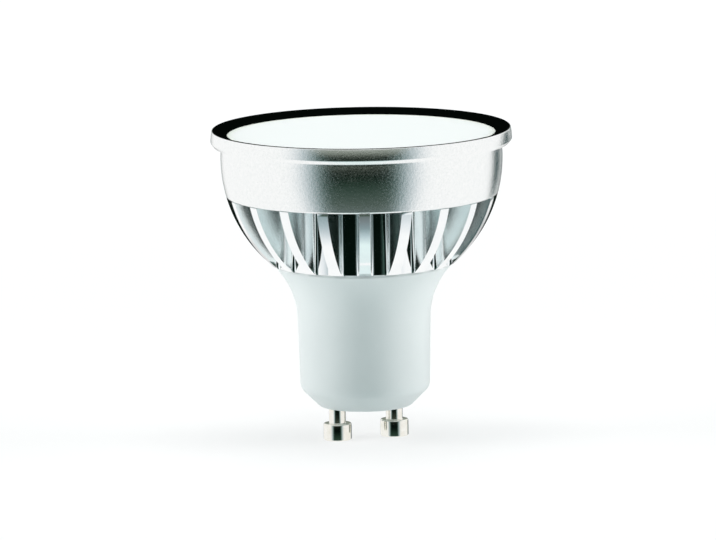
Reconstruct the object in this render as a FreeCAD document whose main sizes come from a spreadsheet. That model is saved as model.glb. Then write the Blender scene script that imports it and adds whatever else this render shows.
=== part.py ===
# GU10 LED spotlight bulb, in millimetres.
# The lamp stands upright on its two contact pins. The origin is on the lamp's axis, level with
# the ends of the pins, +Z runs up to the front cover, and both pins are on the X axis.
import FreeCAD
import Part
import Sketcher

import math
import os
from types import SimpleNamespace

FULL_TURN = 360
PAIR = 2
TINY = 1e-6
BOTH_SIDES = range(-1, 2, 2)
CLOCKWISE, COUNTER = BOTH_SIDES
FRONT, BACK = BOTH_SIDES

# How a sketch numbers the ends of an edge and its two axes
FIRST_END, LAST_END, CENTRE = range(1, 4)
H_AXIS, V_AXIS = range(-1, -3, -1)
SKETCH_ORIGIN = (H_AXIS, FIRST_END)
ZERO_AXIS = {"DistanceX": V_AXIS, "DistanceY": H_AXIS}

# Driving dimensions: alias, value, what it measures
SIZES = [
    ("pin_spacing", "10.0", "contact pins, centre to centre"),
    ("pin_reach", "5.5", "pin end to the underside of the base"),
    ("pin_foot_dia", "4.7", "mushroom foot of a pin"),
    ("pin_foot_height", "2.8", "mushroom foot of a pin"),
    ("pin_foot_edge", "0.35", "bevel round both ends of the foot"),
    ("pin_stem_dia", "2.8", "stem between foot and base"),
    ("pin_shank_dia", "2.2", "shank pressed through the base"),
    ("pin_shank_height", "5.0", "shank above the underside of the base"),
    ("pin_bore_dia", "1.1", "crimp bore for the lead"),
    ("pin_bore_depth", "2.4", "crimp bore for the lead"),
    ("pin_fit", "0.05", "gap round the shank in the base"),
    ("base_height", "24.0", "underside of the base to the heat sink's seat"),
    ("base_foot_dia", "14.2", "flat underside of the base"),
    ("base_bevel_height", "3.5", "bevel between underside and neck"),
    ("base_bevel_round", "3.0", "rounding where the bevel meets the neck"),
    ("base_foot_round", "0.6", "rounding round the underside"),
    ("neck_low_dia", "21.5", "neck above the bevel"),
    ("neck_high_dia", "22.1", "neck below the flare"),
    ("neck_height", "15.5", "underside of the base to the flare"),
    ("flare_radius", "10.2", "hollow curve under the flange"),
    ("flange_inset", "0.5", "core of the heat sink past the top flange of the base"),
    ("flange_edge", "0.5", "upright edge of that flange"),
    ("sleeve_wall", "1.7", "wall of the insulating sleeve"),
    ("cavity_foot_dia", "12.8", "floor of the room in the base"),
    ("cavity_bevel_height", "2.7", "bevel round that floor"),
    ("base_floor", "2.0", "floor thickness at the pins"),
    ("sleeve_dia", "22.0", "insulating sleeve inside the heat sink"),
    ("sleeve_height", "10.2", "that sleeve above the flange"),
    ("sleeve_gap", "0.15", "gap between sleeve and heat sink"),
    ("boss_dia", "4.0", "screw boss in the sleeve"),
    ("boss_inset", "1.3", "middle of a boss inside the wall"),
    ("boss_height", "5.2", "screw boss in the sleeve"),
    ("rail_width", "1.0", "rib on each side of a board groove"),
    ("rail_depth", "1.3", "depth of the ribs from the wall"),
    ("fin_count", "20", "radial fins"),
    ("fin_height", "11.4", "heat sink's seat to the top of the fins"),
    ("fin_edge", "1.75", "fin thickness at its outer edge"),
    ("fin_root", "1.9", "fin thickness where the round to the core starts"),
    ("fin_root_round", "0.6", "round between a fin and the core"),
    ("fin_toe", "0.2", "fin past the core at the seat"),
    ("core_dia", "30.2", "round core between the fins"),
    ("plate_height", "2.8", "plate under the LED board, above the fins"),
    ("wire_hole_dia", "5.0", "hole for the leads through plate, pad and board"),
    ("base_screw_dia", "2.0", "base screw thread"),
    ("base_screw_length", "8.0", "base screw below its head"),
    ("base_screw_head_dia", "3.8", "base screw head"),
    ("base_screw_head_height", "1.3", "base screw head"),
    ("screw_slot", "0.5", "driver slot in a screw head"),
    ("screw_gap", "0.1", "gap round a screw and its head"),
    ("ring_height", "11.2", "top of the fins to the front of the bezel"),
    ("ring_wall", "1.4", "wall of the front ring at its foot"),
    ("ring_fit", "0.1", "gap between front ring and plate"),
    ("ring_foot_bevel", "0.3", "bevel round the foot of the front ring"),
    ("rim_dia", "50.0", "protruding front rim"),
    ("rim_height", "2.3", "front of the bezel to the foot of the rim's upright side"),
    ("rim_slope", "1.2", "slope from band to rim"),
    ("rim_round", "0.3", "rounding of the rim's edges"),
    ("rim_overhang", "1.6", "rim past the ball that fins and band follow"),
    ("rim_wall", "0.85", "rim round the recess for cover and bezel"),
    ("mouth_depth", "2.3", "recess for cover and bezel"),
    ("bezel_fit", "0.05", "gap round bezel and cover rim"),
    ("bezel_flange", "0.3", "flange of the bezel on top of the rim"),
    ("bezel_inset", "0.15", "edge of the rim past that flange"),
    ("bezel_land", "0.3", "flat top of the bezel"),
    ("bezel_nose", "0.2", "upright inner edge of the bezel"),
    ("bezel_skirt", "0.75", "wall of the bezel round the cover"),
    ("bezel_lip", "1.05", "bezel over the rim of the cover"),
    ("cover_drop", "1.0", "front of the cover below the front edge"),
    ("cover_web", "1.2", "thickness of the cover"),
    ("cover_skirt_height", "1.4", "skirt inside the front ring"),
    ("cover_skirt_wall", "1.2", "skirt inside the front ring"),
    ("pad_margin", "1.0", "edge of the LED board past the thermal pad"),
    ("pad_thickness", "0.3", "thermal pad"),
    ("led_board_margin", "2.0", "edge of the plate past the LED board"),
    ("led_board_thickness", "1.6", "LED board"),
    ("board_screw_inset", "3.5", "LED board screw from the edge of the board"),
    ("board_screw_dia", "2.0", "LED board screw thread"),
    ("board_screw_length", "4.0", "LED board screw below its head"),
    ("board_screw_head_dia", "3.6", "LED board screw head"),
    ("board_screw_head_height", "1.2", "LED board screw head"),
    ("led_count", "8", "LED emitters"),
    ("led_inset", "5.5", "middle of an emitter inside the circle of the screws"),
    ("led_size", "3.5", "side of an emitter"),
    ("led_height", "0.8", "height of an emitter"),
    ("led_window_dia", "2.6", "phosphor well of an emitter"),
    ("led_window_depth", "0.2", "phosphor well of an emitter"),
    ("driver_thickness", "1.2", "driver board"),
    ("driver_lift", "7.2", "underside of the base to the driver board"),
    ("driver_height", "23.2", "driver board"),
    ("driver_gap", "0.1", "gap round the driver board in its grooves"),
    ("coil_lift", "1.5", "driver board's foot to the transformer"),
    ("core_width", "8.4", "transformer core"),
    ("core_height", "9.0", "transformer core"),
    ("core_depth", "4.0", "transformer core"),
    ("core_leg", "2.6", "middle leg of the core"),
    ("core_side", "1.5", "side leg of the core"),
    ("core_yoke", "1.6", "top and bottom of the core"),
    ("winding_gap", "0.1", "gap between winding and core"),
    ("winding_bulge", "1.4", "winding in front of and behind the core"),
    ("winding_round", "1.2", "corner of the winding"),
    ("lead_dia", "0.6", "leads of the wired components"),
    ("lead_run", "1.0", "lead from a component to its bend"),
    ("lead_bend", "0.6", "bend of a lead, to its middle line"),
    ("can_lead_spacing", "2.5", "leads of a can, centre to centre"),
    ("can_groove", "0.3", "crimp groove round a can"),
    ("can_edge", "0.4", "bevel round the ends of a can"),
    ("input_can_gap", "0.3", "input capacitor to the wall of the base"),
    ("input_can_height", "9.0", "input capacitor"),
    ("input_can_lift", "12.0", "driver board's foot to the input capacitor"),
    ("input_can_side", "0.2", "side of the input capacitor off the middle"),
    ("output_can_gap", "1.0", "output capacitor to the wall of the base"),
    ("output_can_height", "8.5", "output capacitor"),
    ("output_can_lift", "12.0", "driver board's foot to the output capacitor"),
    ("output_can_side", "0.35", "side of the output capacitor off the middle"),
    ("choke_gap", "0.35", "filter choke to the wall of the base"),
    ("choke_height", "6.5", "filter choke"),
    ("choke_flange", "0.8", "end flange of the choke"),
    ("choke_waist", "0.9", "winding below the choke's flanges"),
    ("choke_lift", "12.5", "driver board's foot to the choke"),
    ("choke_side", "2.0", "side of the choke off the middle"),
    ("bridge_width", "4.6", "bridge rectifier"),
    ("bridge_height", "3.9", "bridge rectifier"),
    ("bridge_depth", "2.4", "bridge rectifier"),
    ("bridge_lift", "3.0", "driver board's foot to the rectifier"),
    ("bridge_offset", "3.6", "rectifier off the middle"),
    ("bridge_legs", "2", "legs on each side of the rectifier"),
    ("chip_width", "3.9", "driver chip"),
    ("chip_height", "4.9", "driver chip"),
    ("chip_depth", "1.5", "driver chip"),
    ("chip_lift", "14.0", "driver board's foot to the chip"),
    ("chip_offset", "4.0", "chip off the middle"),
    ("chip_legs", "4", "legs on each side of the chip"),
    ("leg_length", "1.0", "leg of a flat component past its side"),
    ("leg_width", "0.45", "leg of a flat component"),
    ("leg_thickness", "0.25", "leg of a flat component"),
    ("fuse_dia", "3.2", "fuse resistor's end caps"),
    ("fuse_waist", "0.3", "fuse resistor between its end caps"),
    ("fuse_cap", "1.4", "length of an end cap"),
    ("fuse_height", "7.0", "fuse resistor"),
    ("fuse_lift", "3.2", "driver board's foot to the fuse resistor"),
    ("fuse_offset", "4.4", "fuse resistor off the middle"),
    ("fuse_gap", "0.2", "fuse resistor off the board"),
    ("wire_dia", "0.9", "insulated leads"),
    ("wire_bend", "1.2", "bend of a lead, to its middle line"),
    ("wire_seat", "0.2", "lead above the foot of the crimp bore"),
    ("wire_lap", "2.0", "lead soldered along a board"),
    ("led_wire_spacing", "2.2", "the two LED leads, centre to centre"),
]


class Size:
    """A number that remembers the sheet expression it comes from."""

    def __init__(self, value, text):
        self.value = value
        self.text = text

    def __add__(self, other):
        other = as_size(other)
        return Size(self.value + other.value, f"({self.text} + {other.text})")

    def __sub__(self, other):
        other = as_size(other)
        return Size(self.value - other.value, f"({self.text} - {other.text})")

    def __mul__(self, other):
        other = as_size(other)
        return Size(self.value * other.value, f"({self.text} * {other.text})")

    def __truediv__(self, other):
        other = as_size(other)
        return Size(self.value / other.value, f"({self.text} / {other.text})")

    def __neg__(self):
        return Size(-self.value, f"(-{self.text})")


def as_size(number):
    return number if isinstance(number, Size) else Size(float(number), str(number))


def root(size):
    return Size(math.sqrt(size.value), f"sqrt({size.text})")


def sine(degrees):
    return Size(math.sin(math.radians(degrees.value)), f"sin({degrees.text})")


def cosine(degrees):
    return Size(math.cos(math.radians(degrees.value)), f"cos({degrees.text})")


def fill_sheet(document):
    """Write the driving dimensions to the sheet and hand them back by name."""
    sheet = document.addObject("Spreadsheet::Sheet", "Sizes")
    for row, (alias, number, note) in enumerate(SIZES, start=1):
        sheet.set(f"A{row}", note)
        sheet.set(f"B{row}", number)
        sheet.setAlias(f"B{row}", alias)
    document.recompute()
    named = {alias: Size(float(sheet.get(alias)), f"Sizes.{alias}") for alias, _, _ in SIZES}
    return SimpleNamespace(**named)


doc = FreeCAD.newDocument("Gu10SpotlightBulb")
s = fill_sheet(doc)

# Levels above the pin ends
underside = s.pin_reach
seat = underside + s.base_height
sleeve_top = seat + s.sleeve_height
shoulder = seat + s.fin_height
plate_top = shoulder + s.plate_height
board_foot = plate_top + s.pad_thickness
board_top = board_foot + s.led_board_thickness
front_edge = shoulder + s.ring_height
rim_top = front_edge - s.bezel_flange
ledge = front_edge - s.mouth_depth
cover_front = front_edge - s.cover_drop
driver_foot = underside + s.driver_lift
driver_face = s.driver_thickness / 2

# The ball that fins and band follow: it meets the core at the seat, and the rim stands past it
bowl_radius = s.rim_dia / 2 - s.rim_overhang
bowl_foot = s.core_dia / 2 + s.fin_toe
bowl_middle = seat + root(bowl_radius * bowl_radius - bowl_foot * bowl_foot)


def bowl_reach(level):
    """Radius of the bowl at a level."""
    drop = bowl_middle - level
    return root(bowl_radius * bowl_radius - drop * drop)


# Radii that follow from the rim, the bowl and the sleeve
mouth = s.rim_dia / 2 - s.rim_wall
bezel_bore = mouth - s.bezel_fit - s.bezel_skirt
cover_rim = bezel_bore - s.bezel_fit
window = bezel_bore - s.bezel_lip
ring_bore = bowl_reach(shoulder) - s.ring_wall
plate = ring_bore - s.ring_fit
led_board_edge = plate - s.led_board_margin
board_screw_reach = led_board_edge - s.board_screw_inset
cavity = s.sleeve_dia / 2 - s.sleeve_wall
base_screw_reach = cavity - s.boss_inset


def radius_beside(side, gap):
    """Radius of a round component on the driver board, between the middle and the wall."""
    room = cavity - gap
    reach = room + driver_face + side
    free = room * room - driver_face * driver_face - side * side
    return root(reach * reach + free) - reach


def bind(thing, path, size):
    thing.setExpression(path, as_size(size).text)


def new_body(label):
    body = doc.addObject("PartDesign::Body", label)
    body.Label = label
    return body


def place(body, x=0, y=0, z=0):
    for axis, size in zip("xyz", (x, y, z)):
        bind(body, f"Placement.Base.{axis}", size)


def origin_feature(body, role):
    return next(item for item in body.Origin.OriginFeatures if item.Role == role)


def new_sketch(body, name, role, offset=0):
    """A sketch on one of the body's origin planes, moved along that plane's normal."""
    sketch = body.newObject("Sketcher::SketchObject", name)
    sketch.AttachmentSupport = [(origin_feature(body, role), "")]
    sketch.MapMode = "FlatFace"
    bind(sketch, "AttachmentOffset.Base.z", offset)
    return sketch


def hold_point(sketch, edge, end, x, y):
    """Tie one point of an edge to its place in the sketch."""
    for kind, size in (("DistanceX", as_size(x)), ("DistanceY", as_size(y))):
        if abs(size.value) < TINY:
            sketch.addConstraint(Sketcher.Constraint("PointOnObject", edge, end, ZERO_AXIS[kind]))
            continue
        ends = (*SKETCH_ORIGIN, edge, end) if size.value > 0 else (edge, end, *SKETCH_ORIGIN)
        length = size if size.value > 0 else -size
        index = sketch.addConstraint(Sketcher.Constraint(kind, *ends, length.value))
        bind(sketch, f"Constraints[{index}]", length)


def flat_point(corner):
    return FreeCAD.Vector(as_size(corner[0]).value, as_size(corner[1]).value, 0)


def arc_between(start, end, radius, turn):
    """The short arc of a radius from start to end, turning clockwise or counter to it."""
    chord = end - start
    across = FreeCAD.Vector(-chord.y, chord.x, 0).normalize() * turn
    half = chord.Length / 2
    middle = (start + end) / 2 + across * math.sqrt(radius**2 - half**2)
    return Part.Arc(start, middle - across * radius, end)


def draw(sketch, corners, arcs=None, closed=True):
    """Draw an outline through corners; arcs gives the radius and turn of a side that is round."""
    arcs = arcs or {}
    points = [flat_point(corner) for corner in corners]
    sides = len(points) if closed else len(points) - 1
    edges = []
    for side in range(sides):
        start = points[side]
        end = points[(side + 1) % len(points)]
        shape = Part.LineSegment(start, end)
        if side in arcs:
            radius, turn = arcs[side]
            shape = arc_between(start, end, as_size(radius).value, turn)
        edge = sketch.addGeometry(shape, False)
        ends = [FIRST_END, LAST_END]
        if sketch.getPoint(edge, FIRST_END).distanceToPoint(start) > TINY:
            ends.reverse()
        edges.append((edge, *ends))
    for side, (edge, first, last) in enumerate(edges):
        hold_point(sketch, edge, first, *corners[side])
        if side in arcs:
            radius = as_size(arcs[side][0])
            index = sketch.addConstraint(Sketcher.Constraint("Radius", edge, radius.value))
            bind(sketch, f"Constraints[{index}]", radius)
        if closed or side + 1 < sides:
            follower, follower_first, _ = edges[(side + 1) % sides]
            meeting = (edge, last, follower, follower_first)
            sketch.addConstraint(Sketcher.Constraint("Coincident", *meeting))
        else:
            hold_point(sketch, edge, last, *corners[-1])


def draw_circle(sketch, x, y, dia):
    circle = Part.Circle(flat_point((x, y)), FreeCAD.Vector(0, 0, 1), dia.value / 2)
    edge = sketch.addGeometry(circle, False)
    index = sketch.addConstraint(Sketcher.Constraint("Diameter", edge, dia.value))
    bind(sketch, f"Constraints[{index}]", dia)
    hold_point(sketch, edge, CENTRE, x, y)


def draw_box(sketch, left, low, right, high):
    draw(sketch, [(left, low), (right, low), (right, high), (left, high)])


def revolve(body, name, corners, arcs=None):
    """Turn a profile of radius and level round the body's upright axis."""
    sketch = new_sketch(body, f"{name}_profile", "XZ_Plane")
    draw(sketch, corners, arcs)
    turned = body.newObject("PartDesign::Revolution", name)
    turned.Profile = sketch
    turned.ReferenceAxis = (sketch, ["V_Axis"])
    turned.Angle = FULL_TURN
    doc.recompute()
    return turned


def pad(body, sketch, height):
    raised = body.newObject("PartDesign::Pad", sketch.Name.replace("_sketch", "_pad"))
    raised.Profile = sketch
    bind(raised, "Length", height)
    doc.recompute()
    return raised


def pocket(body, sketch, depth, along_normal=False):
    """Cut a sketch into the body, and make sure that the cut meets it."""
    volume = body.Shape.Volume
    cut = body.newObject("PartDesign::Pocket", sketch.Name.replace("_sketch", "_pocket"))
    cut.Profile = sketch
    cut.Reversed = along_normal
    bind(cut, "Length", depth)
    doc.recompute()
    if body.Shape.Volume > volume - TINY:
        raise RuntimeError(f"{cut.Name} cuts nothing")
    return cut


def repeat_round(body, features, count):
    """Repeat features evenly round the body's upright axis."""
    pattern = body.newObject("PartDesign::PolarPattern", f"{body.Name}_pattern")
    pattern.Originals = features
    pattern.Axis = (origin_feature(body, "Z_Axis"), [""])
    pattern.Angle = FULL_TURN
    bind(pattern, "Occurrences", count)
    body.Tip = pattern
    doc.recompute()
    return pattern


def round_edges(shape, dia, level):
    """Names of the full round edges of a diameter at a level."""
    names = []
    for number, edge in enumerate(shape.Edges, start=1):
        curve = edge.Curve
        if not isinstance(curve, Part.Circle):
            continue
        if abs(curve.Radius - dia.value / 2) < TINY and abs(curve.Center.z - level.value) < TINY:
            names.append(f"Edge{number}")
    return names


def upright_edges(shape, x, y):
    """Names of the straight upright edges at the four corners x, y."""
    names = []
    for number, edge in enumerate(shape.Edges, start=1):
        ends = [vertex.Point for vertex in edge.Vertexes]
        at_corner = all(
            abs(abs(p.x) - x.value) < TINY and abs(abs(p.y) - y.value) < TINY for p in ends
        )
        if at_corner and abs(ends[0].z - ends[-1].z) > TINY:
            names.append(f"Edge{number}")
    return names


def soften(body, kind, names, size_name, size):
    """Round or bevel named edges of the body's last feature."""
    base = body.Tip
    if not names:
        raise RuntimeError(f"{body.Name} has no edge to soften")
    softened = body.newObject(f"PartDesign::{kind}", f"{body.Name}_{kind.lower()}")
    softened.Base = (base, names)
    bind(softened, size_name, size)
    doc.recompute()
    return softened


def contact_pin(label, x):
    """A turned pin: mushroom foot, stem, and a shank with a crimp bore for its lead."""
    body = new_body(label)
    foot = s.pin_foot_dia / 2
    stem = s.pin_stem_dia / 2
    shank = s.pin_shank_dia / 2
    bore = s.pin_bore_dia / 2
    edge = s.pin_foot_edge
    shank_top = underside + s.pin_shank_height
    bore_foot = shank_top - s.pin_bore_depth
    revolve(body, f"{label}_turned", [
        (0, 0),
        (foot - edge, 0),
        (foot, edge),
        (foot, s.pin_foot_height - edge),
        (foot - edge, s.pin_foot_height),
        (stem, s.pin_foot_height),
        (stem, underside),
        (shank, underside),
        (shank, shank_top),
        (bore, shank_top),
        (bore, bore_foot),
        (0, bore_foot),
    ])
    place(body, x=x)
    return body


def base_housing():
    """White moulded base: bevelled foot, slim neck, flare, and a sleeve inside the heat sink."""
    body = new_body("base_housing")
    flange = s.core_dia / 2 - s.flange_inset
    floor = underside + s.base_floor
    bevel_top = underside + s.base_bevel_height
    revolve(body, "base_shell", [
        (0, underside),
        (s.base_foot_dia / 2, underside),
        (s.neck_low_dia / 2, bevel_top),
        (s.neck_high_dia / 2, underside + s.neck_height),
        (flange, seat - s.flange_edge),
        (flange, seat),
        (s.sleeve_dia / 2, seat),
        (s.sleeve_dia / 2, sleeve_top),
        (cavity, sleeve_top),
        (cavity, floor + s.cavity_bevel_height),
        (s.cavity_foot_dia / 2, floor),
        (0, floor),
    ], {3: (s.flare_radius, CLOCKWISE)})
    shape = body.Tip.Shape
    soften(body, "Fillet", round_edges(shape, s.neck_low_dia, bevel_top), "Radius", s.base_bevel_round)
    shape = body.Tip.Shape
    soften(body, "Fillet", round_edges(shape, s.base_foot_dia, underside), "Radius", s.base_foot_round)

    pin_holes = new_sketch(body, "pin_holes_sketch", "XY_Plane", underside)
    for x in (-s.pin_spacing / 2, s.pin_spacing / 2):
        draw_circle(pin_holes, x, 0, s.pin_shank_dia + s.pin_fit * 2)
    pocket(body, pin_holes, s.base_floor + s.cavity_bevel_height, along_normal=True)

    boss_foot = sleeve_top - s.boss_height
    bosses = new_sketch(body, "bosses_sketch", "XY_Plane", boss_foot)
    pilots = new_sketch(body, "pilots_sketch", "XY_Plane", boss_foot)
    for y in (-base_screw_reach, base_screw_reach):
        draw_circle(bosses, 0, y, s.boss_dia)
        draw_circle(pilots, 0, y, s.base_screw_dia + s.screw_gap * 2)
    pad(body, bosses, s.boss_height)
    pocket(body, pilots, s.boss_height, along_normal=True)

    groove = driver_face + s.driver_gap
    rail_foot = floor + s.cavity_bevel_height
    rails = new_sketch(body, "rails_sketch", "XY_Plane", rail_foot)
    grooves = new_sketch(body, "grooves_sketch", "XY_Plane", driver_foot)
    wall = (cavity + s.sleeve_dia / 2) / 2
    for side in BOTH_SIDES:
        inner = (cavity - s.rail_depth) * side
        draw_box(rails, inner, -groove - s.rail_width, wall * side, groove + s.rail_width)
        draw_box(grooves, inner, -groove, (cavity - s.driver_gap) * side, groove)
    pad(body, rails, driver_foot + s.driver_height - rail_foot)
    pocket(body, grooves, s.driver_height, along_normal=True)
    return body


def heat_sink():
    """Turned bowl with a bore for the sleeve, cut into tapered fins that run round into a core."""
    body = new_body("heat_sink")
    bore = s.sleeve_dia / 2 + s.sleeve_gap
    bore_top = sleeve_top + s.sleeve_gap
    revolve(body, "heat_sink_turned", [
        (bore, seat),
        (bowl_reach(seat), seat),
        (bowl_reach(shoulder), shoulder),
        (plate, shoulder),
        (plate, plate_top),
        (s.wire_hole_dia / 2, plate_top),
        (s.wire_hole_dia / 2, bore_top),
        (bore, bore_top),
    ], {1: (bowl_radius, COUNTER)})

    sunk = s.base_screw_head_height + s.screw_gap
    heads = new_sketch(body, "screw_heads_sketch", "XY_Plane", plate_top)
    shanks = new_sketch(body, "screw_shanks_sketch", "XY_Plane", plate_top)
    for y in (-base_screw_reach, base_screw_reach):
        draw_circle(heads, 0, y, s.base_screw_head_dia + s.screw_gap * 2)
        draw_circle(shanks, 0, y, s.base_screw_dia + s.screw_gap * 2)
    pocket(body, heads, sunk)
    pocket(body, shanks, plate_top - bore_top)
    taps = new_sketch(body, "board_taps_sketch", "XY_Plane", plate_top)
    for x in (-board_screw_reach, board_screw_reach):
        draw_circle(taps, x, 0, s.board_screw_dia + s.screw_gap * 2)
    tap_depth = s.board_screw_length - s.led_board_thickness - s.pad_thickness + s.screw_gap
    pocket(body, taps, tap_depth)

    # The round at a fin's root touches the core and the fin's wall, which leans in by the taper
    half_pitch = as_size(FULL_TURN) / s.fin_count / 2
    core = s.core_dia / 2
    round_reach = core + s.fin_root_round
    taper = (s.fin_root - s.fin_edge) / 2 / (bowl_radius - round_reach)
    slant = root(taper * taper + 1)
    aside = (s.fin_root / 2 + s.fin_root_round / slant) / round_reach
    ahead = root(-(aside * aside) + 1)

    def in_gap(reach, half):
        """A place on a fin's wall, seen from the middle of the gap beside it."""
        return (
            reach * cosine(half_pitch) + half * sine(half_pitch),
            reach * sine(half_pitch) - half * cosine(half_pitch),
        )

    floor_end = in_gap(core * ahead, core * aside)
    wall_foot = in_gap(round_reach * ahead - s.fin_root_round * taper / slant, s.fin_root / 2)
    wall_edge = in_gap(bowl_radius, s.fin_edge / 2)
    side = [floor_end, wall_foot, wall_edge]
    gap = new_sketch(body, "fin_gap_sketch", "XY_Plane", seat)
    gap.AttachmentOffset = FreeCAD.Placement(
        gap.AttachmentOffset.Base, FreeCAD.Rotation(FreeCAD.Vector(0, 0, 1), half_pitch.value)
    )
    bind(gap, "AttachmentOffset.Rotation.Angle", half_pitch)
    draw(gap, [(x, -y) for x, y in side] + side[::-1], {
        0: (s.fin_root_round, COUNTER),
        4: (s.fin_root_round, COUNTER),
        5: (core, CLOCKWISE),
    })
    cut = pocket(body, gap, s.fin_height, along_normal=True)
    repeat_round(body, [cut], s.fin_count)
    return body


def front_ring():
    """Turned band that goes on with the bowl's curve and ends in a protruding rim."""
    body = new_body("front_ring")
    rim = s.rim_dia / 2
    rim_foot = front_edge - s.rim_height
    band_top = rim_foot - s.rim_slope
    revolve(body, "front_ring_turned", [
        (ring_bore, shoulder),
        (bowl_reach(shoulder), shoulder),
        (bowl_reach(band_top), band_top),
        (rim, rim_foot),
        (rim, rim_top),
        (mouth, rim_top),
        (mouth, ledge),
        (ring_bore, ledge),
    ], {1: (bowl_radius, COUNTER)})
    shape = body.Tip.Shape
    rim_edges = round_edges(shape, s.rim_dia, rim_foot) + round_edges(shape, s.rim_dia, rim_top)
    soften(body, "Fillet", rim_edges, "Radius", s.rim_round)
    foot_edge = round_edges(body.Tip.Shape, bowl_reach(shoulder) * 2, shoulder)
    soften(body, "Chamfer", foot_edge, "Size", s.ring_foot_bevel)
    return body


def bezel_ring():
    """Black ring pressed into the mouth: its flange lies on the rim and its lip holds the cover."""
    body = new_body("bezel_ring")
    outer = mouth - s.bezel_fit
    flange = s.rim_dia / 2 - s.bezel_inset
    revolve(body, "bezel_turned", [
        (bezel_bore, ledge),
        (outer, ledge),
        (outer, rim_top),
        (flange, rim_top),
        (flange, front_edge),
        (flange - s.bezel_land, front_edge),
        (window, cover_front + s.bezel_nose),
        (window, cover_front),
        (bezel_bore, cover_front),
    ])
    return body


def diffuser():
    """Milky cover: a flat disc with a rim on the ledge and a skirt inside the front ring."""
    body = new_body("diffuser")
    skirt = ring_bore - s.bezel_fit
    hollow = skirt - s.cover_skirt_wall
    skirt_foot = ledge - s.cover_skirt_height
    back = cover_front - s.cover_web
    revolve(body, "cover_turned", [
        (0, cover_front),
        (0, back),
        (hollow, back),
        (hollow, skirt_foot),
        (skirt, skirt_foot),
        (skirt, ledge),
        (cover_rim, ledge),
        (cover_rim, cover_front),
    ])
    return body


def drilled_disc(label, edge, thickness, foot):
    """A disc with the hole for the leads and the two holes for the LED board's screws."""
    body = new_body(label)
    sketch = new_sketch(body, f"{label}_sketch", "XY_Plane", foot)
    draw_circle(sketch, 0, 0, edge * 2)
    draw_circle(sketch, 0, 0, s.wire_hole_dia)
    for x in (-board_screw_reach, board_screw_reach):
        draw_circle(sketch, x, 0, s.board_screw_dia + s.screw_gap * 2)
    pad(body, sketch, thickness)
    return body


def led_emitters():
    """Square emitters with a phosphor well, evenly round the LED board."""
    body = new_body("led_emitters")
    middle = board_screw_reach - s.led_inset
    half = s.led_size / 2
    square = new_sketch(body, "led_square_sketch", "XY_Plane", board_top)
    draw_box(square, middle - half, -half, middle + half, half)
    block = pad(body, square, s.led_height)
    well = new_sketch(body, "led_well_sketch", "XY_Plane", board_top + s.led_height)
    draw_circle(well, middle, 0, s.led_window_dia)
    hollow = pocket(body, well, s.led_window_depth)
    repeat_round(body, [block, hollow], s.led_count)
    return body


def screw_pair(label, x, y, head_foot, dia, length, head_dia, head_height):
    """Two like screws on opposite sides of the axis, each with a slotted head."""
    body = new_body(label)
    shank_sketch = new_sketch(body, f"{label}_shank_sketch", "XY_Plane", head_foot - length)
    draw_circle(shank_sketch, x, y, dia)
    shank = pad(body, shank_sketch, length)
    head_sketch = new_sketch(body, f"{label}_head_sketch", "XY_Plane", head_foot)
    draw_circle(head_sketch, x, y, head_dia)
    head = pad(body, head_sketch, head_height)
    slot_sketch = new_sketch(body, f"{label}_slot_sketch", "XY_Plane", head_foot + head_height)
    half_slot = s.screw_slot / 2
    x = as_size(x)
    y = as_size(y)
    draw_box(slot_sketch, x - head_dia, y - half_slot, x + head_dia, y + half_slot)
    slot = pocket(body, slot_sketch, s.screw_slot)
    repeat_round(body, [shank, head, slot], PAIR)
    return body


def driver_board():
    """Upright board whose side edges stand in the grooves of the base."""
    body = new_body("driver_board")
    half = cavity - s.driver_gap * 2
    sketch = new_sketch(body, "driver_board_sketch", "XZ_Plane", -driver_face)
    draw_box(sketch, -half, driver_foot, half, driver_foot + s.driver_height)
    pad(body, sketch, s.driver_thickness)
    return body


def transformer():
    """Ferrite core with two windows, and the winding round its middle leg."""
    foot = driver_foot + s.coil_lift
    half_width = s.core_width / 2
    half_leg = s.core_leg / 2
    window_edge = half_width - s.core_side
    window_foot = foot + s.core_yoke
    window_top = foot + s.core_height - s.core_yoke
    core_back = driver_face + s.winding_bulge + s.winding_gap
    core = new_body("transformer_core")
    section = new_sketch(core, "core_section_sketch", "XZ_Plane", core_back)
    draw_box(section, -half_width, foot, half_width, foot + s.core_height)
    draw_box(section, half_leg, window_foot, window_edge, window_top)
    draw_box(section, -window_edge, window_foot, -half_leg, window_top)
    pad(core, section, s.core_depth)

    winding = new_body("transformer_winding")
    turns = new_sketch(winding, "winding_sketch", "XY_Plane", window_foot + s.winding_gap)
    half_depth = s.core_depth / 2 + s.winding_gap
    outer = window_edge - s.winding_gap
    outer_depth = half_depth + s.winding_bulge
    inner = half_leg + s.winding_gap
    draw_box(turns, -outer, -outer_depth, outer, outer_depth)
    draw_box(turns, -inner, -half_depth, inner, half_depth)
    pad(winding, turns, window_top - window_foot - s.winding_gap * 2)
    corners = upright_edges(winding.Tip.Shape, outer, outer_depth)
    soften(winding, "Fillet", corners, "Radius", s.winding_round)
    place(winding, y=-driver_face - outer_depth)
    return [core, winding]


def bent_lead(body, name, x, level, heading, reach):
    """A round lead that leaves a component up or down and then turns to the board behind it."""
    bend = s.lead_bend * heading
    run = level + s.lead_run * heading
    spine = new_sketch(body, f"{name}_path", "YZ_Plane", x)
    corners = [(0, level), (0, run - bend), (s.lead_bend, run), (reach, run)]
    draw(spine, corners, {1: (s.lead_bend, CLOCKWISE if heading > 0 else COUNTER)}, closed=False)
    section = new_sketch(body, f"{name}_section", "XY_Plane", level)
    draw_circle(section, x, 0, s.lead_dia)
    doc.recompute()
    lead = body.newObject("PartDesign::AdditivePipe", f"{name}_sweep")
    lead.Profile = section
    lead.Spine = spine
    doc.recompute()
    return lead


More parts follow.
